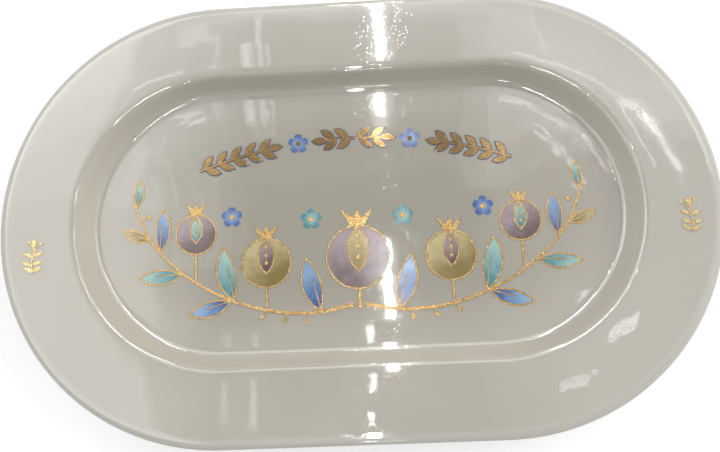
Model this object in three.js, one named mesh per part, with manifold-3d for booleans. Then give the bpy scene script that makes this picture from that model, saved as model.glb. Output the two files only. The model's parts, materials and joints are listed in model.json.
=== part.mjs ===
// An oval porcelain tray for a braided loaf. One pressed and glazed shell carries the whole shape: a flat
// floor, a steep well wall, a wide sloping rim with a rounded lip, and a foot ring underneath. Fired onto its
// glaze are thin transfers of gold and coloured enamel: a pomegranate in the middle, a fruiting bough on each
// side of it, an arch of three leafy sprays with blossoms between them, loose blossoms, and a gold sprig on
// the rim at each end. Millimetres, +Z up, +X along the tray. The origin is on the table under its middle.

import * as THREE from "three";
import { mergeVertices } from "three/addons/utils/BufferGeometryUtils.js";
import Module from "manifold-3d";

const wasm = await Module();
wasm.setup();

// Plan: two round ends joined by a straight run. Radii are measured from the middle of a round end.
const straightRun = 150;
const edgeRadius = 125;
const wellMouthRadius = 83;
const wellFloorRadius = 77.5;
const floorBreakRadius = 67;

// Section of the shell
const footHeight = 2.5;
const footWidth = 4;
const footRounding = 0.8;
const floorThickness = 4.5;
const wellDepth = 12.8;
const wallThickness = 4.8;
const rimThickness = 4.5;
const rimSlopeDegrees = 5;
const floorSlopeDegrees = 3;
const floorBreakRounding = 90;
const coveRounding = 6;
const shoulderRounding = 4.5;
const underRimRounding = 5;
const lipWidth = 4.5;
const endSteps = 28;
const lipSteps = 8;

// Transfers: the two kinds of film, and how they meet the glaze and each other
const enamelThickness = 0.2;
const goldThickness = 0.25;
const goldLineWidth = 0.9;
const filmGap = 0.15;
const rimSeatGap = 0.05;
const edgingWidth = 0.55;
const fieldMargin = 1;
const mergeDistance = 0.001;

// Boughs
const stemWidth = 2;
const stemTipWidth = 1;
const stalkWidth = 1.2;
const stemSteps = 18;
const largeLeaf = { length: 32, outer: 7.2, inner: 4.4 };
const middleLeaf = { length: 26, outer: 5.6, inner: 3.6 };
const smallLeaf = { length: 17, outer: 4, inner: 2.8 };
const leafSteps = 7;
const midribShare = 0.62;
const midribWidth = 0.8;
const berryStalkLength = 5;
const berryRadius = 1.3;
const berrySteps = 8;

// Pomegranates. A lift is how far the middle of a fruit stands over its place on the stem, and shares are of
// the fruit's radius.
const middleFruitRadius = 18.5;
const nearFruitRadius = 14.5;
const farFruitRadius = 12;
const nearFruitLift = 27;
const farFruitLift = 28;
const fruitSteps = 28;
const crownNeckShare = 0.24;
const crownSpreadShare = 0.5;
const crownTopShare = 1.5;
const crownNotchShare = 1.22;
const windowLengthShare = 1.45;
const windowBulgeShare = 0.34;
const seedRowShare = 0.95;
const seedRadiusShare = 0.075;
const seedCount = 3;

// Blossoms
const blossomRadius = 6;
const petalCount = 5;
const petalNotchShare = 0.6;
const stepsPerPetal = 6;
const blossomEyeRadius = 1.5;
const eyeSteps = 10;

// Arch of sprays over the boughs, in degrees round the arch
const archRadius = 268;
const archCrownHeight = 46;
const archMiddleTipDegrees = 3.4;
const archBlossomDegrees = 7;
const archSideTipDegrees = 10.6;
const archSideRootDegrees = 19.8;
const archTwigWidth = 1.3;
const archTwigSteps = 6;
const archLeaf = { length: 9.6, outer: 2.5, inner: 1.6 };
const archLeafTiltDegrees = 38;
const archFirstLeaf = 0.28;
const archLeafStagger = 0.15;
const archLeafSteps = 4;
const archSidePairs = 5;
const archMiddlePairs = 2;

// Sprigs on the rim
const sprigRimShare = 0.56;
const sprigDropLeft = 18;
const sprigDropRight = 11;
const sprigLength = 20;
const sprigTwigWidth = 0.8;
const sprigLeaf = { length: 6, outer: 1.3, inner: 0.8 };
const sprigBud = { length: 5.2, outer: 1.5, inner: 1.5 };
const sprigLeafStagger = 0.05;
const sprigBerryRadius = 0.85;
const sprigLeafSteps = 3;

const radians = THREE.MathUtils.degToRad;
const point = (x, y) => new THREE.Vector2(x, y);

const floorTop = footHeight + floorThickness;
const wellMouthHeight = floorTop + wellDepth;
const rimRise = Math.tan(radians(rimSlopeDegrees));
const rimHeightAt = (radius) => wellMouthHeight + (radius - wellMouthRadius) * rimRise;
const floorBreakTangent = floorBreakRounding * Math.tan(radians(floorSlopeDegrees) / 2);
const flatRadius = floorBreakRadius - floorBreakTangent;

const porcelain = new THREE.MeshStandardMaterial({ color: 0xc9c5bb, roughness: 0.12, metalness: 0 });
const gold = new THREE.MeshStandardMaterial({ color: 0xb98a48, roughness: 0.3, metalness: 1 });
const deepBlue = new THREE.MeshStandardMaterial({ color: 0x4c76b4, roughness: 0.25, metalness: 0 });
const turquoise = new THREE.MeshStandardMaterial({ color: 0x5fa5ab, roughness: 0.25, metalness: 0 });
const mauve = new THREE.MeshStandardMaterial({ color: 0x86656a, roughness: 0.25, metalness: 0 });
const ochre = new THREE.MeshStandardMaterial({ color: 0x9d8f48, roughness: 0.25, metalness: 0 });
const nightBlue = new THREE.MeshStandardMaterial({ color: 0x46547f, roughness: 0.25, metalness: 0 });

const tray = new THREE.Group();

function addPiece(name, geometry, material) {
  const mesh = new THREE.Mesh(geometry, material);
  mesh.name = name;
  tray.add(mesh);
}

// Solids and plates

// The same triangles with their shared corners merged, and without those that have no area
function mergedGeometry(geometry) {
  const bare = new THREE.BufferGeometry();
  bare.setAttribute("position", geometry.getAttribute("position"));
  bare.setIndex(geometry.index);
  const merged = mergeVertices(bare, mergeDistance);
  const corners = merged.index.array;
  const kept = [];
  for (let i = 0; i < corners.length; i += 3) {
    const [a, b, c] = [corners[i], corners[i + 1], corners[i + 2]];
    if (a !== b && b !== c && c !== a) kept.push(a, b, c);
  }
  merged.setIndex(kept);
  return merged;
}

function solidOf(geometry) {
  const closed = mergedGeometry(geometry);
  const mesh = new wasm.Mesh({
    numProp: 3,
    vertProperties: closed.getAttribute("position").array,
    triVerts: new Uint32Array(closed.index.array),
  });
  return new wasm.Manifold(mesh);
}

function geometryOf(solid) {
  const mesh = solid.getMesh();
  const geometry = new THREE.BufferGeometry();
  geometry.setAttribute("position", new THREE.BufferAttribute(mesh.vertProperties, 3));
  geometry.setIndex(new THREE.BufferAttribute(mesh.triVerts, 1));
  return mergedGeometry(geometry);
}

function joined(solids) {
  return solids.reduce((sum, next) => sum.add(next));
}

const counterclockwise = (outline) =>
  THREE.ShapeUtils.isClockWise(outline) ? [...outline].reverse() : outline;

// A flat plate of the outline with the holes cut through it, standing on the height given
function plateOf(outline, height, thickness, holes = []) {
  const shape = new THREE.Shape(counterclockwise(outline));
  shape.holes = holes.map((hole) => new THREE.Path(counterclockwise(hole)));
  const geometry = new THREE.ExtrudeGeometry(shape, { depth: thickness, bevelEnabled: false });
  geometry.translate(0, 0, height);
  return solidOf(geometry);
}

const goldPlate = (outline, holes) => plateOf(outline, floorTop, goldThickness, holes);
const enamelPlate = (outline, holes) => plateOf(outline, floorTop, enamelThickness, holes);

// A plate that reaches past both faces of the enamel, to cut room for the gold out of it
const cuttingPlate = (outline) => plateOf(outline, floorTop - 1, enamelThickness + 2);

// The porcelain shell

// The arc that rounds the corner between two straight runs
function roundedCorner(before, corner, after, rounding, steps) {
  const towardsBefore = before.clone().sub(corner).normalize();
  const towardsAfter = after.clone().sub(corner).normalize();
  const halfAngle = Math.acos(towardsBefore.dot(towardsAfter)) / 2;
  const middle = towardsBefore.clone().add(towardsAfter).normalize();
  const centre = corner.clone().addScaledVector(middle, rounding / Math.sin(halfAngle));
  const start = corner.clone().addScaledVector(towardsBefore, rounding / Math.tan(halfAngle)).sub(centre);
  const end = corner.clone().addScaledVector(towardsAfter, rounding / Math.tan(halfAngle)).sub(centre);
  const turn = Math.atan2(start.cross(end), start.dot(end));
  return Array.from({ length: steps + 1 }, (_, i) =>
    start.clone().rotateAround(point(0, 0), (turn * i) / steps).add(centre),
  );
}

// Half an ellipse from the upper face of the rim round to its lower face
function lipSection() {
  const start = edgeRadius - lipWidth;
  const middle = rimHeightAt(start) - rimThickness / 2;
  return Array.from({ length: lipSteps + 1 }, (_, i) => {
    const angle = Math.PI / 2 - (Math.PI * i) / lipSteps;
    return point(start + lipWidth * Math.cos(angle), middle + (rimThickness / 2) * Math.sin(angle));
  });
}

// Half the section of the shell, from the middle of the floor over the rim and under it to the middle again
function shellSection() {
  const coveRise = (wellFloorRadius - floorBreakRadius) * Math.tan(radians(floorSlopeDegrees));
  const floorMiddle = point(0, floorTop);
  const floorBreak = point(floorBreakRadius, floorTop);
  const cove = point(wellFloorRadius, floorTop + coveRise);
  const shoulder = point(wellMouthRadius, wellMouthHeight);
  const lip = lipSection();

  // The outside of the well wall runs parallel to its inside, one wall thickness away.
  const up = shoulder.clone().sub(cove).normalize();
  const outerWall = shoulder.clone().addScaledVector(point(up.y, -up.x), wallThickness);
  const wallSteepness = up.y / up.x;
  const wallHeightAt = (radius) => outerWall.y + (radius - outerWall.x) * wallSteepness;
  const underRimAt = (radius) => rimHeightAt(radius) - rimThickness;
  const underShoulderRadius =
    outerWall.x + (underRimAt(outerWall.x) - outerWall.y) / (wallSteepness - rimRise);
  const underShoulder = point(underShoulderRadius, wallHeightAt(underShoulderRadius));
  const footOuterRadius = outerWall.x + (footHeight - outerWall.y) / wallSteepness;
  const wallFoot = point(footOuterRadius, footHeight);
  const footOuter = point(footOuterRadius, 0);
  const footInner = point(footOuterRadius - footWidth, 0);
  const footRoot = point(footOuterRadius - footWidth, footHeight);
  const underFloorMiddle = point(0, footHeight);

  return [
    floorMiddle,
    ...roundedCorner(floorMiddle, floorBreak, cove, floorBreakRounding, 2),
    ...roundedCorner(floorBreak, cove, shoulder, coveRounding, 4),
    ...roundedCorner(cove, shoulder, lip[0], shoulderRounding, 4),
    ...lip,
    ...roundedCorner(lip.at(-1), underShoulder, wallFoot, underRimRounding, 3),
    wallFoot,
    ...roundedCorner(wallFoot, footOuter, footInner, footRounding, 2),
    ...roundedCorner(footOuter, footInner, footRoot, footRounding, 2),
    ...roundedCorner(footInner, footRoot, underFloorMiddle, footRounding, 2),
    underFloorMiddle,
  ];
}

// The section is turned once round as on a lathe. Its columns of points are then spread over two half turns,
// one for each end of the tray, and the halves stand apart by the straight run.
function shellGeometry() {
  const section = shellSection().reverse();
  const columnsPerEnd = endSteps + 1;
  const columns = 2 * columnsPerEnd;
  const geometry = new THREE.LatheGeometry(section, columns);
  const position = geometry.getAttribute("position");
  for (let i = 0; i < position.count; i += 1) {
    const { x: radius, y: height } = section[i % section.length];
    const column = Math.floor(i / section.length) % columns;
    const end = column < columnsPerEnd ? 1 : -1;
    const turn = (Math.PI * (column % columnsPerEnd)) / endSteps;
    const along = straightRun / 2 + radius * Math.sin(turn);
    position.setXYZ(i, end * along, -end * radius * Math.cos(turn), height);
  }
  return mergedGeometry(geometry);
}

// Outlines of the transfers, in the plane of the floor

const placed = (outline, base, degrees) =>
  outline.map((p) => p.clone().rotateAround(point(0, 0), radians(degrees)).add(base));

const mirroredAcross = (outline) => outline.map((p) => point(p.x, -p.y));

const discOutline = (centre, radius, steps) =>
  Array.from({ length: steps }, (_, i) => {
    const angle = (2 * Math.PI * i) / steps;
    return point(centre.x + radius * Math.cos(angle), centre.y + radius * Math.sin(angle));
  });

const arcPoints = (centre, radius, startAngle, endAngle, steps) =>
  Array.from({ length: steps }, (_, i) => {
    const angle = THREE.MathUtils.lerp(startAngle, endAngle, i / steps);
    return point(centre.x + radius * Math.cos(angle), centre.y + radius * Math.sin(angle));
  });

// A pointed leaf along +X from its base at the origin, with one arc for each edge, drawn in by the inset.
// The outer and inner values are how far its two edges bulge from the line between base and tip.
function leafOutline({ length, outer, inner }, inset, steps) {
  const arcRadius = (bulge) => (length * length) / (8 * bulge) + bulge / 2;
  const upper = arcRadius(outer) - inset;
  const lower = arcRadius(inner) - inset;
  const upperCentre = point(length / 2, outer - arcRadius(outer));
  const lowerCentre = point(length / 2, arcRadius(inner) - inner);
  const tipHeight =
    (upper ** 2 - lower ** 2 - upperCentre.y ** 2 + lowerCentre.y ** 2) /
    (2 * (lowerCentre.y - upperCentre.y));
  const tipReach = Math.sqrt(upper ** 2 - (tipHeight - upperCentre.y) ** 2);
  const upperStart = Math.atan2(tipHeight - upperCentre.y, tipReach);
  const lowerStart = Math.atan2(tipHeight - lowerCentre.y, -tipReach);
  const lowerEnd = Math.atan2(tipHeight - lowerCentre.y, tipReach);
  return [
    ...arcPoints(upperCentre, upper, upperStart, Math.PI - upperStart, steps),
    ...arcPoints(lowerCentre, lower, lowerStart, lowerEnd, steps),
  ];
}

// A ribbon along the points, whose width changes evenly from one end to the other
function ribbonOutline(points, startWidth, endWidth) {
  const left = [];
  const right = [];
  points.forEach((here, i) => {
    const before = points[Math.max(0, i - 1)];
    const after = points[Math.min(points.length - 1, i + 1)];
    const along = after.clone().sub(before).normalize();
    const halfWidth = THREE.MathUtils.lerp(startWidth, endWidth, i / (points.length - 1)) / 2;
    left.push(point(here.x - along.y * halfWidth, here.y + along.x * halfWidth));
    right.unshift(point(here.x + along.y * halfWidth, here.y - along.x * halfWidth));
  });
  return [...left, ...right];
}

// The drawing fills the flat of the floor. Places in it are shares of its half length and half width.
const fieldHalfLength = straightRun / 2 + flatRadius - fieldMargin;
const fieldHalfWidth = flatRadius - fieldMargin;
const inField = (shareX, shareY) => point(shareX * fieldHalfLength, shareY * fieldHalfWidth);

// Pomegranates: a gold ring with a crown, and a window down its middle with a row of seeds in it

// The crown stands on the middle of the ring's line, and its three teeth flare from a neck.
function crownOutline(centre, radius) {
  const halfNeck = radius * crownNeckShare;
  const root = Math.sqrt((radius - goldLineWidth / 2) ** 2 - halfNeck ** 2);
  const halfCrown = [
    point(halfNeck, root),
    point(halfNeck, radius),
    point(radius * crownSpreadShare, radius * crownTopShare),
    point(halfNeck / 2, radius * crownNotchShare),
  ];
  const otherHalf = halfCrown.map((p) => point(-p.x, p.y)).reverse();
  const middleTooth = point(0, radius * crownTopShare);
  return placed([...halfCrown, middleTooth, ...otherHalf], centre, 0);
}

function windowOutline(centre, radius, inset) {
  const bulge = radius * windowBulgeShare;
  const size = { length: radius * windowLengthShare, outer: bulge, inner: bulge };
  const top = point(centre.x, centre.y + radius - goldLineWidth / 2);
  return placed(leafOutline(size, inset, leafSteps), top, -90);
}

function seedRow(centre, radius, grow) {
  const top = centre.y + radius - goldLineWidth;
  const length = radius * seedRowShare;
  const line = [point(centre.x, top), point(centre.x, top - length)];
  const lineWidth = goldLineWidth / 2 + 2 * grow;
  const seeds = Array.from({ length: seedCount }, (_, i) => {
    const seedCentre = point(centre.x, top - (length * (i + 1)) / seedCount);
    return discOutline(seedCentre, radius * seedRadiusShare + grow, berrySteps);
  });
  return [ribbonOutline(line, lineWidth, lineWidth), ...seeds];
}

function fruitGold(centre, radius) {
  const ring = goldPlate(
    discOutline(centre, radius, fruitSteps),
    [discOutline(centre, radius - goldLineWidth, fruitSteps)],
  );
  const frame = goldPlate(windowOutline(centre, radius, 0), [windowOutline(centre, radius, goldLineWidth)]);
  const seeds = seedRow(centre, radius, 0).map((outline) => goldPlate(outline));
  return joined([ring, frame, goldPlate(crownOutline(centre, radius)), ...seeds]);
}

function addFruitEnamel(name, centre, radius, skin, flesh) {
  const cellInset = goldLineWidth + filmGap;
  const skinCell = enamelPlate(discOutline(centre, radius - cellInset, fruitSteps)).subtract(
    cuttingPlate(windowOutline(centre, radius, -filmGap)),
  );
  const fleshCell = enamelPlate(windowOutline(centre, radius, cellInset)).subtract(
    joined(seedRow(centre, radius, filmGap).map(cuttingPlate)),
  );
  addPiece(`${name}_skin`, geometryOf(skinCell), skin);
  addPiece(`${name}_flesh`, geometryOf(fleshCell), flesh);
}

function addMiddleFruit() {
  const centre = inField(0, -0.38);
  const stalkFoot = inField(0, -0.84);
  const stalkHead = point(centre.x, centre.y - middleFruitRadius + goldLineWidth / 2);
  const stalk = goldPlate(ribbonOutline([stalkFoot, stalkHead], stemWidth, stalkWidth));
  addPiece("middle_fruit_gold", geometryOf(fruitGold(centre, middleFruitRadius).add(stalk)), gold);
  addFruitEnamel("middle_fruit", centre, middleFruitRadius, mauve, ochre);
}

// Boughs: gold line work that frames cells of coloured enamel, drawn for the right and mirrored for the left

const boughStem = new THREE.SplineCurve([
  inField(0.02, -0.8),
  inField(0.2, -0.86),
  inField(0.42, -0.8),
  inField(0.65, -0.58),
  inField(0.84, -0.22),
  inField(0.93, 0.18),
]);

const boughLeaves = [
  { at: 0.125, degrees: 76, size: largeLeaf, flipped: true, enamel: deepBlue },
  { at: 0.45, degrees: 79, size: largeLeaf, flipped: true, enamel: turquoise },
  { at: 0.46, degrees: -16, size: middleLeaf, flipped: true, enamel: deepBlue },
  { at: 0.67, degrees: -3, size: middleLeaf, flipped: true, enamel: turquoise },
  { at: 0.79, degrees: 93, size: middleLeaf, flipped: false, enamel: deepBlue },
  { at: 0.85, degrees: 22, size: smallLeaf, flipped: true, enamel: ochre },
  { at: 0.985, degrees: 96, size: smallLeaf, flipped: false, enamel: turquoise },
];

const boughFruits = [
  { name: "near_fruit", at: 0.325, lift: nearFruitLift, radius: nearFruitRadius, skin: ochre, flesh: mauve },
  { name: "far_fruit", at: 0.61, lift: farFruitLift, radius: farFruitRadius, skin: mauve, flesh: turquoise },
];

const boughBerries = [
  { at: 0.16, degrees: -62 },
  { at: 0.24, degrees: -50 },
  { at: 0.32, degrees: -42 },
  { at: 0.93, degrees: 150 },
];

const towardsSide = (outline, side) => outline.map((p) => point(side * p.x, p.y));

function leafParts({ at, degrees, size, flipped }) {
  const base = boughStem.getPointAt(at);
  const outlineAt = (inset) => {
    const outline = leafOutline(size, inset, leafSteps);
    return placed(flipped ? mirroredAcross(outline) : outline, base, degrees);
  };
  const midribAt = (grow) => {
    const line = [point(goldLineWidth / 2 - grow, 0), point(size.length * midribShare + grow, 0)];
    const outline = ribbonOutline(line, midribWidth + 2 * grow, midribWidth / 2 + 2 * grow);
    return placed(outline, base, degrees);
  };
  return {
    frame: outlineAt(0),
    opening: outlineAt(goldLineWidth),
    cell: outlineAt(goldLineWidth + filmGap),
    midrib: midribAt(0),
    midribRoom: midribAt(filmGap),
  };
}

function berryPlates({ at, degrees }, side) {
  const base = boughStem.getPointAt(at);
  const stalk = placed([point(0, 0), point(berryStalkLength, 0)], base, degrees);
  const outlines = [
    ribbonOutline(stalk, stalkWidth / 2, stalkWidth / 2),
    discOutline(stalk[1], berryRadius, berrySteps),
  ];
  return outlines.map((outline) => goldPlate(towardsSide(outline, side)));
}

function addBough(sideName, side) {
  const stemPoints = boughStem.getSpacedPoints(stemSteps);
  const stemAt = (grow) =>
    towardsSide(ribbonOutline(stemPoints, stemWidth + 2 * grow, stemTipWidth + 2 * grow), side);
  const leaves = boughLeaves.map(leafParts);
  const goldPlates = [goldPlate(stemAt(0))];
  leaves.forEach(({ frame, opening, midrib }) => {
    goldPlates.push(goldPlate(towardsSide(frame, side), [towardsSide(opening, side)]));
    goldPlates.push(goldPlate(towardsSide(midrib, side)));
  });
  boughBerries.forEach((berry) => goldPlates.push(...berryPlates(berry, side)));
  boughFruits.forEach(({ name, at, lift, radius, skin, flesh }) => {
    const base = boughStem.getPointAt(at);
    const stalk = [base, point(base.x, base.y + lift - radius + goldLineWidth / 2)];
    const centre = point(side * base.x, base.y + lift);
    goldPlates.push(goldPlate(towardsSide(ribbonOutline(stalk, stalkWidth, stalkWidth), side)));
    goldPlates.push(fruitGold(centre, radius));
    addFruitEnamel(`${name}_${sideName}`, centre, radius, skin, flesh);
  });
  addPiece(`bough_gold_${sideName}`, geometryOf(joined(goldPlates)), gold);

  const stemRoom = cuttingPlate(stemAt(filmGap));
  leaves.forEach(({ cell, midribRoom }, i) => {
    const enamel = enamelPlate(towardsSide(cell, side))
      .subtract(cuttingPlate(towardsSide(midribRoom, side)))
      .subtract(stemRoom);
    addPiece(`leaf_${i + 1}_${sideName}`, geometryOf(enamel), boughLeaves[i].enamel);
  });
}

// Blossoms

function blossomOutline(centre, radius) {
  const steps = petalCount * stepsPerPetal;
  return Array.from({ length: steps }, (_, i) => {
    const angle = Math.PI / 2 + (2 * Math.PI * i) / steps;
    const fullness = Math.sqrt(Math.abs(Math.cos((petalCount / 2) * (angle - Math.PI / 2))));
    const reach = radius * THREE.MathUtils.lerp(petalNotchShare, 1, fullness);
    return point(centre.x + reach * Math.cos(angle), centre.y + reach * Math.sin(angle));
  });
}

function addBlossom(name, centre, enamel) {
  const eye = discOutline(centre, blossomEyeRadius, eyeSteps);
  const eyeRoom = discOutline(centre, blossomEyeRadius + filmGap, eyeSteps);
  const petals = enamelPlate(blossomOutline(centre, blossomRadius), [eyeRoom]);
  addPiece(`${name}_petals`, geometryOf(petals), enamel);
  addPiece(`${name}_eye`, geometryOf(goldPlate(eye)), gold);
}

// The arch: each spray is gold on a slightly wider blue edging. Degrees run from its crown towards +X.

function archPoint(degrees) {
  const angle = radians(90 - degrees);
  return point(
    archRadius * Math.cos(angle),
    archCrownHeight - archRadius + archRadius * Math.sin(angle),
  );
}

// The outlines of a twig and its leaves from root to tip, grown by the width given
function sprayOutlines({ root, tip, pairs }, grow) {
  const twig = Array.from({ length: archTwigSteps + 1 }, (_, i) =>
    archPoint(THREE.MathUtils.lerp(root, tip, i / archTwigSteps)),
  );
  const headingAt = (degrees) => (tip > root ? -degrees : 180 - degrees);
  const leaf = leafOutline(archLeaf, -grow, archLeafSteps);
  const outlines = [
    ribbonOutline(twig, archTwigWidth + 2 * grow, archTwigWidth + 2 * grow),
    placed(leaf, archPoint(THREE.MathUtils.lerp(root, tip, 0.95)), headingAt(tip)),
  ];
  const leafAt = (step, outline, tilt) => {
    const degrees = THREE.MathUtils.lerp(root, tip, step / pairs);
    return placed(outline, archPoint(degrees), headingAt(degrees) + tilt);
  };
  for (let i = 0; i < pairs; i += 1) {
    const step = i + archFirstLeaf;
    outlines.push(leafAt(step, leaf, archLeafTiltDegrees));
    outlines.push(leafAt(step + archLeafStagger, mirroredAcross(leaf), -archLeafTiltDegrees));
  }
  return outlines;
}

function addSpray(name, runs) {
  const layer = (grow, height, thickness) => {
    const outlines = runs.flatMap((run) => sprayOutlines(run, grow));
    return geometryOf(joined(outlines.map((outline) => plateOf(outline, height, thickness))));
  };
  addPiece(`${name}_edging`, layer(edgingWidth, floorTop, enamelThickness), nightBlue);
  addPiece(`${name}_gold`, layer(0, floorTop + enamelThickness, goldThickness), gold);
}

function addArch() {
  const sideRun = (side) => ({
    root: side * archSideRootDegrees,
    tip: side * archSideTipDegrees,
    pairs: archSidePairs,
  });
  const middleRun = (side) => ({ root: 0, tip: side * archMiddleTipDegrees, pairs: archMiddlePairs });
  addSpray("arch_spray_left", [sideRun(-1)]);
  addSpray("arch_spray_middle", [middleRun(-1), middleRun(1)]);
  addSpray("arch_spray_right", [sideRun(1)]);
  addBlossom("arch_blossom_left", archPoint(-archBlossomDegrees), deepBlue);
  addBlossom("arch_blossom_right", archPoint(archBlossomDegrees), deepBlue);
}

// Gold sprigs on the rim

function sprigOutlines() {
  const spine = new THREE.SplineCurve([
    point(0, -sprigLength / 2),
    point(0.9, -sprigLength / 6),
    point(-0.5, sprigLength / 6),
    point(0.4, sprigLength / 2 - sprigBud.length),
  ]);
  const leafAt = (at, degrees, size) =>
    placed(leafOutline(size, 0, sprigLeafSteps), spine.getPointAt(at), degrees);
  const leafPairAt = (at, tilt) => [
    leafAt(at, 90 - tilt, sprigLeaf),
    leafAt(at + sprigLeafStagger, 90 + tilt, sprigLeaf),
  ];
  const berryAt = (at, degrees) => {
    const stalk = placed([point(0, 0), point(sprigBud.length, 0)], spine.getPointAt(at), degrees);
    return [
      ribbonOutline(stalk, sprigTwigWidth / 2, sprigTwigWidth / 2),
      discOutline(stalk[1], sprigBerryRadius, berrySteps),
    ];
  };
  return [
    ribbonOutline(spine.getSpacedPoints(6), sprigTwigWidth, sprigTwigWidth),
    leafAt(0.97, 86, sprigBud),
    ...berryAt(0.92, 50),
    ...berryAt(0.84, 128),
    ...leafPairAt(0.6, 62),
    ...leafPairAt(0.3, 70),
    ...leafPairAt(0.04, 58),
  ];
}

// A sprig is drawn flat and then laid on the slope of the rim.
function addRimSprig(name, side, drop) {
  const reach = THREE.MathUtils.lerp(wellMouthRadius, edgeRadius, sprigRimShare);
  const centre = point(side * (straightRun / 2 + Math.sqrt(reach ** 2 - drop ** 2)), -drop);
  const outlines = sprigOutlines().map((outline) => placed(towardsSide(outline, side), centre, 0));
  const geometry = geometryOf(joined(outlines.map((outline) => plateOf(outline, 0, goldThickness))));
  const position = geometry.getAttribute("position");
  for (let i = 0; i < position.count; i += 1) {
    const radius = Math.hypot(Math.abs(position.getX(i)) - straightRun / 2, position.getY(i));
    position.setZ(i, position.getZ(i) + rimHeightAt(radius) + rimSeatGap);
  }
  addPiece(name, geometry, gold);
}

addPiece("tray_body", shellGeometry(), porcelain);
addMiddleFruit();
addBough("left", -1);
addBough("right", 1);
addArch();
addBlossom("inner_blossom_left", inField(-0.19, -0.02), turquoise);
addBlossom("inner_blossom_right", inField(0.19, -0.02), turquoise);
addBlossom("outer_blossom_left", inField(-0.52, 0.03), deepBlue);
addBlossom("outer_blossom_right", inField(0.52, 0.03), deepBlue);
addRimSprig("rim_sprig_left", -1, sprigDropLeft);
addRimSprig("rim_sprig_right", 1, sprigDropRight);

export default tray;
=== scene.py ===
# The looks of an oval porcelain challah tray: the glazed shell, and the gold and enamel fired onto it.
# Metres, +Z up, +X along the tray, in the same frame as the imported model.

import bpy
import json
import math
import numpy as np
from mathutils import Euler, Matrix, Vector


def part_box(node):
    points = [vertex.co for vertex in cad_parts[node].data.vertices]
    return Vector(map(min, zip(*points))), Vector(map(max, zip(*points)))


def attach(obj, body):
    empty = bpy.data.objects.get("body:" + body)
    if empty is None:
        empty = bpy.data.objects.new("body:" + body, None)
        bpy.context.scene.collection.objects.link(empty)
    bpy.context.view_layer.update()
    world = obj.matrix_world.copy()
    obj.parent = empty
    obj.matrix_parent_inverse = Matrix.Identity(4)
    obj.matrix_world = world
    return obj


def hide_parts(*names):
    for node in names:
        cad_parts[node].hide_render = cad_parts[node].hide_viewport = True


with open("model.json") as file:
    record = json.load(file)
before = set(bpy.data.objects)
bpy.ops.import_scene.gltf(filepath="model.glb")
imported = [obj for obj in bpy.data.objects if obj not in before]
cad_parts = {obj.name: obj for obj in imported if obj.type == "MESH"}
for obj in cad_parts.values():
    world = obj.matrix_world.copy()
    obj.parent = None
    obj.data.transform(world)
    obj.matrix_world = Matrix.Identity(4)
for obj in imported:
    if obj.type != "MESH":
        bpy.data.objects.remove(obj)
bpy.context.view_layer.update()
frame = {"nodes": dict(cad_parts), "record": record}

MM = 0.001

# The shell's plan and section, from the frame where it shows them
shell_low, shell_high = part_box("tray_body")
EDGE_RADIUS = (shell_high.y - shell_low.y) / 2
HALF_RUN = (shell_high.x - shell_low.x) / 2 - EDGE_RADIUS
FLOOR_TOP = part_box("middle_fruit_skin")[0].z
MOUTH_RADIUS = 83 * MM
MOUTH_HEIGHT = FLOOR_TOP + 12.8 * MM
WELL_FLOOR_RADIUS = 77.5 * MM
FLOOR_BREAK_RADIUS = 67 * MM
FLOOR_START_RADIUS = FLOOR_BREAK_RADIUS - 6 * MM
FOOT_HEIGHT = 2.5 * MM
FOOT_WIDTH = 4 * MM
UNDER_FLOOR_RUN = 8 * MM
WALL_THICKNESS = 4.8 * MM
RIM_THICKNESS = 4.5 * MM
LIP_WIDTH = 4.5 * MM
RIM_SLOPE = math.radians(5)
FLOOR_SLOPE = math.radians(3)
FLOOR_BREAK_ROUNDING = 90 * MM
COVE_ROUNDING = 6 * MM
SHOULDER_ROUNDING = 4.5 * MM
UNDER_RIM_ROUNDING = 5 * MM
FOOT_ROUNDING = 0.8 * MM
LIP_STEPS = 16
COLUMNS = 256
LONGEST_SPAN = 2.5 * MM


# Camera

PHOTO_WIDTH = 720
PHOTO_FOCAL_PIXELS = 700
SENSOR_WIDTH = 36
CAMERA_PLACE = Vector((13.2, -78, 400.6)) * MM
CAMERA_DEGREES = (10.92, 2.32, -2.25)
CAMERA_SHIFT = (0.0038, -0.0121)


def add_camera():
    data = bpy.data.cameras.new("photo_camera")
    data.sensor_width = SENSOR_WIDTH
    data.lens = SENSOR_WIDTH * PHOTO_FOCAL_PIXELS / PHOTO_WIDTH
    data.shift_x, data.shift_y = CAMERA_SHIFT
    camera = bpy.data.objects.new("photo_camera", data)
    camera.location = CAMERA_PLACE
    camera.rotation_euler = Euler([math.radians(angle) for angle in CAMERA_DEGREES])
    bpy.context.scene.collection.objects.link(camera)
    bpy.context.scene.camera = camera


# Modelling helpers

def start_piece():
    bpy.ops.object.select_all(action="DESELECT")


def select_points(test):
    mesh = bpy.context.edit_object.data
    bpy.ops.mesh.select_mode(type="VERT")
    bpy.ops.mesh.select_all(action="DESELECT")
    bpy.ops.object.mode_set(mode="OBJECT")
    for vertex in mesh.vertices:
        vertex.select = test(vertex.co)
    bpy.ops.object.mode_set(mode="EDIT")


def rounded_corner(before, corner, after, rounding, steps):
    """The arc that rounds the corner between two straight runs."""
    towards_before = (before - corner).normalized()
    towards_after = (after - corner).normalized()
    half_angle = math.acos(towards_before.dot(towards_after)) / 2
    middle = (towards_before + towards_after).normalized()
    centre = corner + middle * rounding / math.sin(half_angle)
    start = corner + towards_before * rounding / math.tan(half_angle) - centre
    end = corner + towards_after * rounding / math.tan(half_angle) - centre
    turn = math.atan2(start.x * end.y - start.y * end.x, start.dot(end))
    points = []
    for i in range(steps + 1):
        angle = turn * i / steps
        cos, sin = math.cos(angle), math.sin(angle)
        points.append(centre + Vector((start.x * cos - start.y * sin, start.x * sin + start.y * cos)))
    return points


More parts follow.
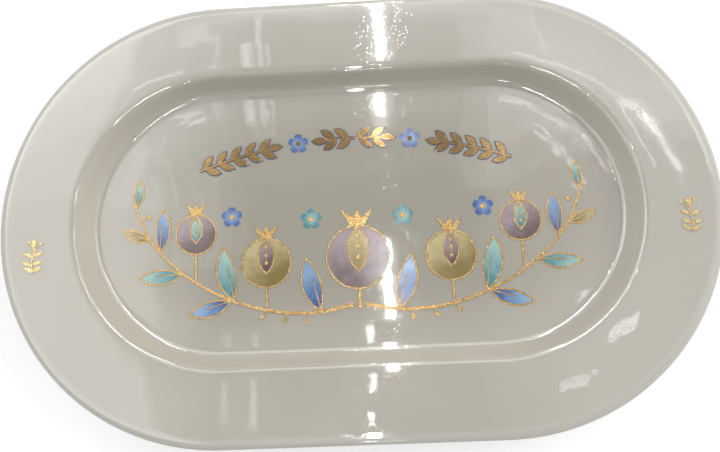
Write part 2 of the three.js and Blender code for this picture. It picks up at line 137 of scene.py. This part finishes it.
def spans_filled(points, longest):
    """The same points, with more between two that are further apart than the longest span."""
    filled = [points[0]]
    for before, after in zip(points, points[1:]):
        steps = max(1, math.ceil((after - before).length / longest))
        filled += [before.lerp(after, (i + 1) / steps) for i in range(steps)]
    return filled


# The porcelain shell

def rim_height(radius):
    return MOUTH_HEIGHT + (radius - MOUTH_RADIUS) * math.tan(RIM_SLOPE)


def lip_section():
    start = EDGE_RADIUS - LIP_WIDTH
    middle = rim_height(start) - RIM_THICKNESS / 2
    points = []
    for i in range(LIP_STEPS + 1):
        angle = math.pi / 2 - math.pi * i / LIP_STEPS
        height = middle + RIM_THICKNESS / 2 * math.sin(angle)
        points.append(Vector((start + LIP_WIDTH * math.cos(angle), height)))
    return points


def shell_section():
    """Half the section, from the flat of the floor over the rim and under it to the flat of the underside."""
    cove_rise = (WELL_FLOOR_RADIUS - FLOOR_BREAK_RADIUS) * math.tan(FLOOR_SLOPE)
    floor_start = Vector((FLOOR_START_RADIUS, FLOOR_TOP))
    floor_break = Vector((FLOOR_BREAK_RADIUS, FLOOR_TOP))
    cove = Vector((WELL_FLOOR_RADIUS, FLOOR_TOP + cove_rise))
    shoulder = Vector((MOUTH_RADIUS, MOUTH_HEIGHT))
    lip = lip_section()
    up = (shoulder - cove).normalized()
    outer_wall = shoulder + Vector((up.y, -up.x)) * WALL_THICKNESS
    steepness = up.y / up.x
    under_rim = rim_height(outer_wall.x) - RIM_THICKNESS
    under_radius = outer_wall.x + (under_rim - outer_wall.y) / (steepness - math.tan(RIM_SLOPE))
    under_shoulder = Vector((under_radius, outer_wall.y + (under_radius - outer_wall.x) * steepness))
    foot_radius = outer_wall.x + (FOOT_HEIGHT - outer_wall.y) / steepness
    wall_foot = Vector((foot_radius, FOOT_HEIGHT))
    foot_outer = Vector((foot_radius, 0))
    foot_inner = Vector((foot_radius - FOOT_WIDTH, 0))
    foot_root = Vector((foot_radius - FOOT_WIDTH, FOOT_HEIGHT))
    under_floor = Vector((foot_radius - FOOT_WIDTH - UNDER_FLOOR_RUN, FOOT_HEIGHT))
    return [
        floor_start,
        *rounded_corner(floor_start, floor_break, cove, FLOOR_BREAK_ROUNDING, steps=6),
        *rounded_corner(floor_break, cove, shoulder, COVE_ROUNDING, steps=12),
        *rounded_corner(cove, shoulder, lip[0], SHOULDER_ROUNDING, steps=12),
        *lip,
        *rounded_corner(lip[-1], under_shoulder, wall_foot, UNDER_RIM_ROUNDING, steps=8),
        *rounded_corner(under_shoulder, wall_foot, foot_outer, FOOT_ROUNDING, steps=2),
        *rounded_corner(wall_foot, foot_outer, foot_inner, FOOT_ROUNDING, steps=4),
        *rounded_corner(foot_outer, foot_inner, foot_root, FOOT_ROUNDING, steps=4),
        *rounded_corner(foot_inner, foot_root, under_floor, FOOT_ROUNDING, steps=4),
        under_floor,
    ]


def pull_apart(side):
    select_points(lambda co: co.x * side > 0)
    bpy.ops.transform.translate(value=(side * HALF_RUN, 0, 0))


def make_shell():
    """Rings drawn out one from the last, from the floor's edge round to the underside, as a round dish.
    Its two halves are then pulled apart by the straight run."""
    section = spans_filled(shell_section(), LONGEST_SPAN)
    start_piece()
    bpy.ops.mesh.primitive_circle_add(
        vertices=COLUMNS,
        radius=section[0].x,
        fill_type="NGON",
        location=(0, 0, section[0].y),
        rotation=(0, 0, math.pi / COLUMNS),
    )
    shell = bpy.context.object
    shell.name = "tray_shell"
    bpy.ops.object.transform_apply(location=True, rotation=True, scale=True)
    bpy.ops.object.mode_set(mode="EDIT")
    bpy.ops.mesh.select_mode(type="EDGE")
    bpy.ops.mesh.select_all(action="SELECT")
    for before, after in zip(section, section[1:]):
        growth = after.x / before.x
        bpy.ops.mesh.extrude_edges_move()
        bpy.ops.transform.resize(value=(growth, growth, 1), center_override=(0, 0, 0))
        bpy.ops.transform.translate(value=(0, 0, after.y - before.y))
    bpy.ops.mesh.edge_face_add()
    pull_apart(1)
    pull_apart(-1)
    bpy.ops.mesh.select_all(action="SELECT")
    bpy.ops.mesh.normals_make_consistent(inside=False)
    bpy.ops.object.mode_set(mode="OBJECT")
    bpy.ops.object.shade_smooth()
    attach(shell, "root")
    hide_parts("tray_body")
    return shell


# Node helpers

def linear(red, green, blue):
    """A colour as it is seen, 0 to 255, as the shader's linear values."""
    channels = []
    for value in (red, green, blue):
        share = value / 255
        channels.append(share / 12.92 if share <= 0.04045 else ((share + 0.055) / 1.055) ** 2.4)
    return (*channels, 1)


def add_node(tree, kind, **settings):
    node = tree.nodes.new(kind)
    for name, value in settings.items():
        setattr(node, name, value)
    return node


def feed(tree, socket, value):
    if isinstance(value, bpy.types.NodeSocket):
        tree.links.new(value, socket)
    else:
        socket.default_value = value


def calculated(tree, operation, first, second=0.0):
    node = add_node(tree, "ShaderNodeMath", operation=operation)
    feed(tree, node.inputs[0], first)
    feed(tree, node.inputs[1], second)
    return node.outputs["Value"]


def remapped(tree, value, low, high, to_low=0.0, to_high=1.0, smooth=False):
    node = add_node(tree, "ShaderNodeMapRange", interpolation_type="SMOOTHSTEP" if smooth else "LINEAR")
    feed(tree, node.inputs["Value"], value)
    for name, limit in (("From Min", low), ("From Max", high), ("To Min", to_low), ("To Max", to_high)):
        feed(tree, node.inputs[name], limit)
    return node.outputs["Result"]


def mixed(tree, share, first, second, blend="MIX"):
    node = add_node(tree, "ShaderNodeMix", data_type="RGBA", blend_type=blend)
    feed(tree, node.inputs["Factor"], share)
    feed(tree, node.inputs["A"], first)
    feed(tree, node.inputs["B"], second)
    return node.outputs["Result"]


def place_on_object(tree):
    return add_node(tree, "ShaderNodeTexCoord").outputs["Object"]


def noise(tree, scale, detail=2.0, roughness=0.5):
    node = add_node(tree, "ShaderNodeTexNoise")
    feed(tree, node.inputs["Vector"], place_on_object(tree))
    feed(tree, node.inputs["Scale"], scale)
    feed(tree, node.inputs["Detail"], detail)
    feed(tree, node.inputs["Roughness"], roughness)
    return node.outputs["Fac"]


def scattered_spots(tree, scale, radius, share):
    """Round spots, 1 in their middle and 0 outside, in the share of the pattern's cells that is given."""
    cells = add_node(tree, "ShaderNodeTexVoronoi")
    feed(tree, cells.inputs["Vector"], place_on_object(tree))
    feed(tree, cells.inputs["Scale"], scale)
    draw = add_node(tree, "ShaderNodeSeparateColor")
    feed(tree, draw.inputs["Color"], cells.outputs["Color"])
    chosen = calculated(tree, "LESS_THAN", draw.outputs["Red"], share)
    spot = remapped(tree, cells.outputs["Distance"], 0.0, radius, 1.0, 0.0, smooth=True)
    return calculated(tree, "MULTIPLY", spot, chosen)


def bumped(tree, height, distance=1.0, strength=1.0):
    node = add_node(tree, "ShaderNodeBump")
    feed(tree, node.inputs["Height"], height)
    feed(tree, node.inputs["Distance"], distance)
    feed(tree, node.inputs["Strength"], strength)
    return node.outputs["Normal"]


def new_material(name):
    material = bpy.data.materials.new(name)
    material.use_nodes = True
    tree = material.node_tree
    return material, tree, tree.nodes["Principled BSDF"]


def new_group(name, inputs, outputs):
    tree = bpy.data.node_groups.new(name, "ShaderNodeTree")
    for label, kind in inputs:
        tree.interface.new_socket(name=label, in_out="INPUT", socket_type=kind)
    for label, kind in outputs:
        tree.interface.new_socket(name=label, in_out="OUTPUT", socket_type=kind)
    return tree, add_node(tree, "NodeGroupInput").outputs, add_node(tree, "NodeGroupOutput").inputs


def placed_group(tree, group, **values):
    node = add_node(tree, "ShaderNodeGroup", node_tree=group)
    for name, value in values.items():
        feed(tree, node.inputs[name.replace("_", " ")], value)
    return node.outputs


# Porcelain glaze

DISH_START = 15 * MM
DISH_END = 57 * MM
DISH_SLOPE = math.tan(math.radians(2.6))
SLOPE_START = FLOOR_BREAK_RADIUS - FLOOR_BREAK_ROUNDING * math.tan(FLOOR_SLOPE / 2)
SLOPE_END = FLOOR_BREAK_RADIUS + FLOOR_BREAK_ROUNDING * math.tan(FLOOR_SLOPE / 2)
# The glaze darkens from the first of these reaches to the second, towards the middle of the well: painted
# shade.
PAINTED_SHADE_START = 76 * MM
PAINTED_SHADE_END = 35 * MM
# The glaze grows lighter from the first of these reaches to the second, towards the outer edge: painted light
# on the lip.
PAINTED_LIGHT_START = EDGE_RADIUS - 7 * MM
PAINTED_LIGHT_END = EDGE_RADIUS - 2 * MM
BARE_FROM = 0.9 * MM
BARE_TO = 0.5 * MM

GLAZE_IOR = 1.52
GLAZE_SHADES = (linear(189, 183, 170), linear(195, 190, 178))
# The darker glaze towards the middle of the well: painted shade.
PAINTED_SHADE_GLAZE = linear(174, 169, 155)
# The lighter glaze towards the outer edge of the lip: painted light.
PAINTED_LIGHT_GLAZE = linear(210, 206, 196)
CLAY_SHADES = (linear(196, 190, 176), linear(170, 162, 146))
GLAZE_ROUGHNESS = (0.015, 0.03)
CLAY_ROUGHNESS = 0.85

# Iron specks in the clay that show through the glaze
SPECK_SCALE = 70
SPECK_RADIUS = 0.018
SPECK_SHARE = 0.25
SPECK_STRENGTH = 0.6
SPECK_COLOUR = linear(96, 84, 70)

# The glaze's waviness, from long waves to short: the scale of each noise, and how deep it is
GLAZE_WAVES = ((22, 0.16 * MM), (80, 0.022 * MM), (240, 0.005 * MM))

# Fine pits in the glaze, which break up the edges of bright reflections
PIT_SCALE = 720
PIT_RADIUS = 0.38
PIT_SHARE = 0.7
PIT_DEPTH = 0.01 * MM


def distance_from_middle_line(tree):
    """How far a place is from the line between the middles of the two round ends."""
    split = add_node(tree, "ShaderNodeSeparateXYZ")
    feed(tree, split.inputs["Vector"], place_on_object(tree))
    beyond = calculated(tree, "SUBTRACT", calculated(tree, "ABSOLUTE", split.outputs["X"]), HALF_RUN)
    along = calculated(tree, "MAXIMUM", beyond, 0.0)
    squares = [calculated(tree, "MULTIPLY", value, value) for value in (along, split.outputs["Y"])]
    return calculated(tree, "SQRT", calculated(tree, "ADD", *squares)), split.outputs["Z"]


def eased_rise(tree, reach, start, end):
    """A height that is level up to the start, steepens to one in one by the end, and keeps on from there."""
    easing = remapped(tree, reach, start, end, 0.0, end - start)
    eased = calculated(tree, "MULTIPLY", calculated(tree, "MULTIPLY", easing, easing), 0.5 / (end - start))
    beyond = calculated(tree, "MAXIMUM", calculated(tree, "SUBTRACT", reach, end), 0.0)
    return calculated(tree, "ADD", eased, beyond)


def make_floor_dish():
    """The slight dish of the well's floor and of the films on it, as a height for a bump.
    It rises away from the middle line, and stops rising where the shell's own slope takes over."""
    tree, given, result = new_group(
        "floor_dish",
        [("Slope", "NodeSocketFloat")],
        [("Height", "NodeSocketFloat")],
    )
    reach = distance_from_middle_line(tree)[0]
    dish = eased_rise(tree, reach, DISH_START, DISH_END)
    run_out = eased_rise(tree, reach, SLOPE_START, SLOPE_END)
    sag = calculated(tree, "SUBTRACT", dish, run_out)
    feed(tree, result["Height"], calculated(tree, "MULTIPLY", sag, given["Slope"]))
    return tree


FLOOR_DISH = make_floor_dish()


def make_porcelain():
    material, tree, shader = new_material("porcelain_glaze")
    shader.inputs["IOR"].default_value = GLAZE_IOR
    reach, height = distance_from_middle_line(tree)

    tone = remapped(tree, noise(tree, scale=9, detail=3), 0.35, 0.65)
    glaze = mixed(tree, tone, *GLAZE_SHADES)
    # Painted shade: the glaze darkens towards the middle of the well.
    painted_shade = remapped(tree, reach, PAINTED_SHADE_START, PAINTED_SHADE_END, smooth=True)
    glaze = mixed(tree, painted_shade, glaze, PAINTED_SHADE_GLAZE)
    # Painted light: the glaze grows lighter towards the outer edge of the lip.
    painted_light = remapped(tree, reach, PAINTED_LIGHT_START, PAINTED_LIGHT_END, smooth=True)
    glaze = mixed(tree, painted_light, glaze, PAINTED_LIGHT_GLAZE)
    specks = scattered_spots(tree, SPECK_SCALE, SPECK_RADIUS, SPECK_SHARE)
    glaze = mixed(tree, calculated(tree, "MULTIPLY", specks, SPECK_STRENGTH), glaze, SPECK_COLOUR)
    bare = remapped(tree, height, BARE_FROM, BARE_TO)
    clay = mixed(tree, noise(tree, scale=800, detail=4), *CLAY_SHADES)
    feed(tree, shader.inputs["Base Color"], mixed(tree, bare, glaze, clay))

    glazed_roughness = remapped(tree, noise(tree, scale=50), 0.3, 0.7, *GLAZE_ROUGHNESS)
    bare_roughness = calculated(tree, "MULTIPLY", bare, CLAY_ROUGHNESS)
    feed(tree, shader.inputs["Roughness"], calculated(tree, "MAXIMUM", glazed_roughness, bare_roughness))

    surface = placed_group(tree, FLOOR_DISH, Slope=DISH_SLOPE)["Height"]
    for scale, depth in GLAZE_WAVES:
        wave = calculated(tree, "MULTIPLY", noise(tree, scale, detail=1), depth)
        surface = calculated(tree, "ADD", surface, wave)
    pits = scattered_spots(tree, PIT_SCALE, PIT_RADIUS, PIT_SHARE)
    surface = calculated(tree, "ADD", surface, calculated(tree, "MULTIPLY", pits, -PIT_DEPTH))
    feed(tree, shader.inputs["Normal"], bumped(tree, surface))
    return material


# Fired films

def make_film_grain():
    """The grain of a fired film: its shade, how rough it is from place to place, and its fine pebbles."""
    tree, given, result = new_group(
        "film_grain",
        [(label, "NodeSocketFloat") for label in ("Size", "Smoothest", "Roughest", "Pebbles")],
        [(label, "NodeSocketFloat") for label in ("Grain", "Roughness", "Height")],
    )
    grain = noise(tree, given["Size"], detail=3.0, roughness=0.6)
    feed(tree, result["Grain"], remapped(tree, grain, 0.35, 0.68))
    patches = noise(tree, calculated(tree, "MULTIPLY", given["Size"], 0.3))
    feed(tree, result["Roughness"], remapped(tree, patches, 0.3, 0.7, given["Smoothest"], given["Roughest"]))
    feed(tree, result["Height"], calculated(tree, "MULTIPLY", grain, given["Pebbles"]))
    return tree


# How far the fine drops of the spray, and its broader clouds, shift the fade
DROP_SPREAD = 0.22
CLOUD_SPREAD = 0.15


def make_airbrushed_fade():
    """A colour blown on from one side: it thins into the pale one through a spray of fine dots."""
    tree, given, result = new_group(
        "airbrushed_fade",
        [("Share", "NodeSocketFloat"), ("Deep", "NodeSocketColor"), ("Pale", "NodeSocketColor")],
        [("Color", "NodeSocketColor")],
    )
    drops = remapped(tree, noise(tree, scale=2600), 0.3, 0.7, -DROP_SPREAD, DROP_SPREAD)
    cloud = remapped(tree, noise(tree, scale=110), 0.3, 0.7, -CLOUD_SPREAD, CLOUD_SPREAD)
    share = calculated(tree, "ADD", given["Share"], calculated(tree, "ADD", drops, cloud))
    fade = remapped(tree, share, 0.05, 0.95, smooth=True)
    feed(tree, result["Color"], mixed(tree, fade, given["Deep"], given["Pale"]))
    return tree


FILM_GRAIN = make_film_grain()
AIRBRUSHED_FADE = make_airbrushed_fade()


def finish_surface(tree, shader, film):
    """A film's roughness and pebbles, on the dish of the floor that it lies on."""
    dish = placed_group(tree, FLOOR_DISH, Slope=DISH_SLOPE)
    feed(tree, shader.inputs["Roughness"], film["Roughness"])
    feed(tree, shader.inputs["Normal"], bumped(tree, calculated(tree, "ADD", dish["Height"], film["Height"])))


# What each kind of film gives the grain's group
GOLD_FILM = {"Size": 1400.0, "Smoothest": 0.18, "Roughest": 0.34, "Pebbles": 0.03 * MM}
SMOOTH_GOLD_FILM = {"Size": 1400.0, "Smoothest": 0.05, "Roughest": 0.11, "Pebbles": 0.006 * MM}
ENAMEL_FILM = {"Size": 1100.0, "Smoothest": 0.1, "Roughest": 0.2, "Pebbles": 0.016 * MM}

# The golds: their colour where bright, where worn and in the low of the grain, and their kind of film
GOLDS = {
    "fired_gold": (linear(153, 128, 87), linear(132, 109, 70), linear(105, 83, 52), GOLD_FILM),
    "bright_gold": (linear(160, 145, 106), linear(148, 131, 94), linear(115, 98, 63), GOLD_FILM),
    "deep_gold": (linear(136, 113, 79), linear(119, 97, 65), linear(97, 77, 49), SMOOTH_GOLD_FILM),
}


def make_gold(name, bright, worn, low, kind_of_film):
    material, tree, shader = new_material(name)
    shader.inputs["Metallic"].default_value = 1
    film = placed_group(tree, FILM_GRAIN, **kind_of_film)
    wear = remapped(tree, noise(tree, scale=60, detail=3), 0.35, 0.7)
    high = mixed(tree, wear, bright, worn)
    feed(tree, shader.inputs["Base Color"], mixed(tree, film["Grain"], low, high))
    finish_surface(tree, shader, film)
    return material


# The enamels: their colour where deep and where pale
ENAMELS = {
    "deep_blue_enamel": (linear(44, 88, 160), linear(140, 176, 214)),
    "turquoise_enamel": (linear(62, 140, 154), linear(166, 204, 196)),
    "mauve_enamel": (linear(92, 66, 66), linear(170, 152, 158)),
    "ochre_enamel": (linear(132, 112, 48), linear(200, 186, 134)),
    "night_blue_enamel": (linear(46, 58, 98), linear(72, 88, 130)),
}


def make_enamel(name, deep, pale):
    material, tree, shader = new_material(name)
    shader.inputs["IOR"].default_value = GLAZE_IOR
    shade = add_node(tree, "ShaderNodeUVMap", uv_map="shade")
    split = add_node(tree, "ShaderNodeSeparateXYZ")
    feed(tree, split.inputs["Vector"], shade.outputs["UV"])
    colour = placed_group(tree, AIRBRUSHED_FADE, Share=split.outputs["X"], Deep=deep, Pale=pale)
    film = placed_group(tree, FILM_GRAIN, **ENAMEL_FILM)
    feed(tree, shader.inputs["Base Color"], colour["Color"])
    finish_surface(tree, shader, film)
    return material


# The ways along which the edgings and the fruit fade
EDGING_FADE = np.array((1, 0))
FRUIT_FADE = np.array((-0.5, 0.87))


def shade_shares(name, points):
    """How far along its fade each point of a film is, from 0 where it is deep to 1 where it is pale."""
    middle = points.mean(axis=0)
    centred = points - middle
    if name.endswith("petals"):
        return 1 - np.linalg.norm(centred, axis=1) / np.linalg.norm(centred, axis=1).max()
    if name.startswith("leaf"):
        along = np.linalg.svd(centred, full_matrices=False)[2][0]
        grows_up = abs(along[1]) > 0.5
        along = along * np.sign(along[1] if grows_up else along[0] * middle[0])
    elif name.endswith("edging"):
        along = EDGING_FADE
    else:
        along = FRUIT_FADE
    spread = points @ along
    return (spread - spread.min()) / (spread.max() - spread.min())


def lay_out_shade(film):
    mesh = film.data
    shares = shade_shares(film.name, np.array([vertex.co[:2] for vertex in mesh.vertices]))
    layer = mesh.uv_layers.new(name="shade")
    for loop in mesh.loops:
        layer.data[loop.index].uv = (shares[loop.vertex_index], 0.5)


# The finish of the gold on the rim and in the arch. The other gold films have the usual one.
GOLD_FINISHES = {"rim": "bright_gold", "arch": "deep_gold"}
USUAL_GOLD = "fired_gold"

JOINED_WITHIN = 0.03 * MM
SOFT_EDGE_WIDTH = 0.06 * MM
SOFT_EDGE_ANGLE = math.radians(60)


def finish_of(name, slot):
    if slot == "gold":
        return GOLD_FINISHES.get(name.split("_")[0], USUAL_GOLD)
    return slot


def finish_films(materials):
    for part in frame["record"]["subparts"]:
        name, slot = part["node"], part["material_slot"]
        if name == "tray_body":
            continue
        film = frame["nodes"][name]
        if slot != "gold":
            lay_out_shade(film)
        film.data.materials.clear()
        film.data.materials.append(materials[finish_of(name, slot)])
        weld = film.modifiers.new("joined_corners", "WELD")
        weld.merge_threshold = JOINED_WITHIN
        bevel = film.modifiers.new("soft_edge", "BEVEL")
        bevel.width = SOFT_EDGE_WIDTH
        bevel.segments = 2
        bevel.limit_method = "ANGLE"
        bevel.angle_limit = SOFT_EDGE_ANGLE
        bevel.use_clamp_overlap = False


# Stage and light

FLOOR_SIZE = 30

# How strongly the floor glows to the camera near the tray and far from it, where it meets the white sky
NEAR_GLOW = 0.45
FAR_GLOW = 0.68
GLOW_RISES_FROM = 0.6
GLOW_RISES_TO = 2.4

# How strong the sky is as light, and as the camera and reflections see it
SKY_LIGHT = 0.41
SKY_SEEN = 1.0


def add_floor():
    start_piece()
    bpy.ops.mesh.primitive_plane_add(size=FLOOR_SIZE)
    floor = bpy.context.object
    floor.name = "studio_floor"
    material, tree, shader = new_material("studio_floor_white")
    shader.inputs["Base Color"].default_value = (0.9, 0.9, 0.9, 1)
    shader.inputs["Roughness"].default_value = 0.9
    shader.inputs["Specular IOR Level"].default_value = 0
    shader.inputs["Emission Color"].default_value = (1, 1, 1, 1)
    seen = add_node(tree, "ShaderNodeLightPath").outputs["Is Camera Ray"]
    reach = add_node(tree, "ShaderNodeVectorMath", operation="LENGTH")
    feed(tree, reach.inputs[0], place_on_object(tree))
    glow = remapped(
        tree, reach.outputs["Value"], GLOW_RISES_FROM, GLOW_RISES_TO, NEAR_GLOW, FAR_GLOW, smooth=True
    )
    feed(tree, shader.inputs["Emission Strength"], calculated(tree, "MULTIPLY", seen, glow))
    floor.data.materials.append(material)


def add_world():
    world = bpy.data.worlds.new("studio_sky")
    bpy.context.scene.world = world
    world.use_nodes = True
    tree = world.node_tree
    sky = tree.nodes["Background"]
    path = add_node(tree, "ShaderNodeLightPath")
    seen = calculated(tree, "MAXIMUM", path.outputs["Is Camera Ray"], path.outputs["Is Glossy Ray"])
    feed(tree, sky.inputs["Strength"], remapped(tree, seen, 0.0, 1.0, SKY_LIGHT, SKY_SEEN))
    sky.inputs["Color"].default_value = (1, 1, 1, 1)


# Lamps that overlap have heights of their own, because at the same height they would hide each other
CEILING = 2.0
TUBE_HEIGHT = CEILING - 0.01
TURNED_STRIP_HEIGHT = CEILING - 0.02
PANEL_GAP = 0.006
LAYER_GAP = 0.001
FADE_LAYERS = 4

# Lit parts of the ceiling, seen only as reflections: name, low corner, high corner, radiance, then how far
# their low and high sides fade
PANELS = (
    ("left_panel", (-2.2, -0.9), (-0.62, 1.6), 3.6, (0, 0), (0.03, 0)),
    ("left_far_panel", (-2.2, 0.42), (-0.62, 1.6), 3.0, (0, 0.24), (0.03, 0)),
    ("left_middle_panel", (-0.63, 0.3), (-0.46, 1.6), 2.0, (0, 0), (0.13, 0)),
    ("left_near_panel", (-0.63, -0.9), (-0.55, 0.3), 1.2, (0, 0), (0.05, 0)),
    ("far_panel", (-0.63, 0.5), (1.2, 2.2), 1.8, (0, 0.2), (0, 0)),
    ("far_edge_panel", (-0.63, 0.72), (0.8, 2.2), 2.0, (0, 0.03), (0, 0)),
    ("near_panel", (-0.55, -1.8), (-0.05, 0.22), 0.9, (0, 0), (0.15, 0.2)),
    ("right_panel", (0.36, -0.3), (2.2, 0.8), 1.2, (0.12, 0), (0, 0)),
    ("right_far_panel", (0.32, 0.48), (1.6, 1.2), 3.3, (0.24, 0.12), (0, 0)),
    ("left_band_a", (-0.452, 0.56), (-0.4, 0.66), 5, (0.018, 0.01), (0.018, 0.01)),
    ("left_band_b", (-0.395, 0.56), (-0.369, 0.8), 4, (0.008, 0.02), (0.008, 0.05)),
    ("left_band_c", (-0.365, 0.56), (-0.349, 0.66), 3, (0.005, 0.01), (0.005, 0.01)),
    ("left_band_near", (-0.46, 0.04), (-0.43, 0.21), 4, (0.012, 0.03), (0.012, 0.03)),
    ("outer_left_band", (-0.585, 0.67), (-0.54, 0.74), 4, (0.015, 0.02), (0.015, 0.02)),
    ("right_spot", (0.5, 0.62), (0.56, 0.7), 4, (0.018, 0.025), (0.018, 0.025)),
    ("far_glow", (-0.006, 0.56), (0.078, 0.84), 7, (0.036, 0), (0.036, 0)),
    ("middle_glow", (-0.006, 0.21), (0.074, 0.32), 5, (0.034, 0.01), (0.034, 0.02)),
    ("outer_left_near", (-0.56, 0.06), (-0.53, 0.21), 2.5, (0.012, 0.03), (0.012, 0.03)),
)

# Lit strips of the ceiling, seen only as reflections: name, x, from y to y, width, radiance
TUBES = (
    ("near_tube_c", -0.045, -0.8, -0.04, 0.04, 115),
    ("near_tube_b", -0.05, 0.03, 0.08, 0.024, 20),
    ("near_tube_a", -0.04, 0.14, 0.2, 0.026, 16),
    ("middle_tube", 0.034, 0.215, 0.302, 0.026, 160),
    ("far_tube_a", 0.036, 0.56, 0.85, 0.024, 180),
    ("far_tube_b", 0.036, 0.85, 2.2, 0.045, 110),
    ("outer_left_line", -0.515, 0.56, 0.68, 0.008, 2.5),
    ("right_line", 0.47, 0.58, 0.82, 0.006, 2.5),
    ("right_tube_near_a", 0.553, 0.2, 0.235, 0.045, 6),
    ("right_tube_near_b", 0.497, 0.11, 0.14, 0.05, 4),
)

# Lit strips of the ceiling that lie askew, seen only as reflections: name, place, size, radiance, then their
# turn in degrees
TURNED_STRIPS = (
    ("right_strip_a", (0.578, 0.499), (0.07, 0.02), 5, -16),
    ("right_strip_b", (0.632, 0.453), (0.1, 0.016), 6, -57),
    ("right_strip_glow_a", (0.578, 0.499), (0.1, 0.05), 1.6, -16),
    ("right_strip_glow_b", (0.632, 0.453), (0.12, 0.04), 1.6, -57),
    ("floor_end_strip_a", (0.5, 0.463), (0.12, 0.008), 6, -57),
    ("floor_end_strip_b", (0.561, 0.457), (0.1, 0.008), 5, -65),
    ("floor_end_strip_c", (0.47, 0.545), (0.14, 0.01), 4, -26),
    ("floor_end_strip_d", (-0.58, 0.556), (0.08, 0.008), 5, 12),
    ("lip_tube", (0.86, 0.607), (0.36, 0.02), 16, -67),
)

# Large soft windows, seen only as light: name, azimuth and elevation in degrees, distance, size, radiance
WINDOWS = (
    ("right_window", 28, 22, 3.0, (3.3, 2.0), 3.2),
    ("left_window", 150, 22, 1.8, (2.0, 1.4), 1.6),
    ("near_right_window", 332, 22, 2.4, (1.8, 1.0), 1.35),
    ("near_left_window", 205, 22, 2.4, (1.8, 1.0), 0.9),
)

# Small bright lamps beyond the tray and before it, seen only as reflections, given as the windows are
CROSS_LAMPS = (
    ("far_cross_lamp", 90.3, 38, 3.1, (0.36, 0.09), 80),
    ("near_cross_lamp", 269.3, 42, 2.8, (0.2, 0.09), 80),
)


def add_lamp(name, place, size, radiance, target=None, turn=0.0, only_gloss=False, only_diffuse=False):
    """A rectangular lamp of the radiance given. It faces straight down, or the target where there is one."""
    data = bpy.data.lights.new(name, "AREA")
    data.shape = "RECTANGLE"
    data.size, data.size_y = size
    data.energy = radiance * math.pi * size[0] * size[1]
    lamp = bpy.data.objects.new(name, data)
    lamp.location = place
    if target:
        lamp.rotation_euler = (Vector(target) - Vector(place)).to_track_quat("-Z", "Y").to_euler()
    else:
        lamp.rotation_euler = (0, 0, math.radians(turn))
    lamp.visible_diffuse = not only_gloss
    lamp.visible_glossy = not only_diffuse
    bpy.context.scene.collection.objects.link(lamp)


def add_ceiling_panel(name, height, low, high, radiance, low_fade, high_fade):
    """A lit part of the ceiling. Where its low or high sides fade, it grows brighter inwards by steps."""
    for i in range(FADE_LAYERS):
        share = i / (FADE_LAYERS - 1)
        start = [side + fade * share for side, fade in zip(low, low_fade)]
        end = [side - fade * share for side, fade in zip(high, high_fade)]
        middle = ((start[0] + end[0]) / 2, (start[1] + end[1]) / 2, height + LAYER_GAP * i)
        size = (end[0] - start[0], end[1] - start[1])
        add_lamp(f"{name}_{i + 1}", middle, size, radiance / FADE_LAYERS, only_gloss=True)


def add_distant_lamp(name, azimuth, elevation, distance, size, radiance, **seen):
    """A lamp to one side, at an azimuth and elevation in degrees, that faces the tray."""
    turn, rise = math.radians(azimuth), math.radians(elevation)
    direction = Vector((math.cos(turn) * math.cos(rise), math.sin(turn) * math.cos(rise), math.sin(rise)))
    add_lamp(name, direction * distance, size, radiance, target=(0, 0, 0), **seen)


def add_light():
    add_world()
    for row, (name, low, high, radiance, low_fade, high_fade) in enumerate(PANELS):
        add_ceiling_panel(name, CEILING + PANEL_GAP * row, low, high, radiance, low_fade, high_fade)
    for name, x, low, high, width, radiance in TUBES:
        add_lamp(name, (x, (low + high) / 2, TUBE_HEIGHT), (width, high - low), radiance, only_gloss=True)
    for row, (name, place, size, radiance, turn) in enumerate(TURNED_STRIPS):
        height = TURNED_STRIP_HEIGHT - LAYER_GAP * row
        add_lamp(name, (*place, height), size, radiance, turn=turn, only_gloss=True)
    for window in WINDOWS:
        add_distant_lamp(*window, only_diffuse=True)
    for cross_lamp in CROSS_LAMPS:
        add_distant_lamp(*cross_lamp, only_gloss=True)


add_camera()
shell = make_shell()
shell.data.materials.append(make_porcelain())
materials = {name: make_enamel(name, *colours) for name, colours in ENAMELS.items()}
materials.update({name: make_gold(name, *look) for name, look in GOLDS.items()})
finish_films(materials)
add_floor()
add_light()
bpy.context.scene.view_settings.view_transform = "Standard"
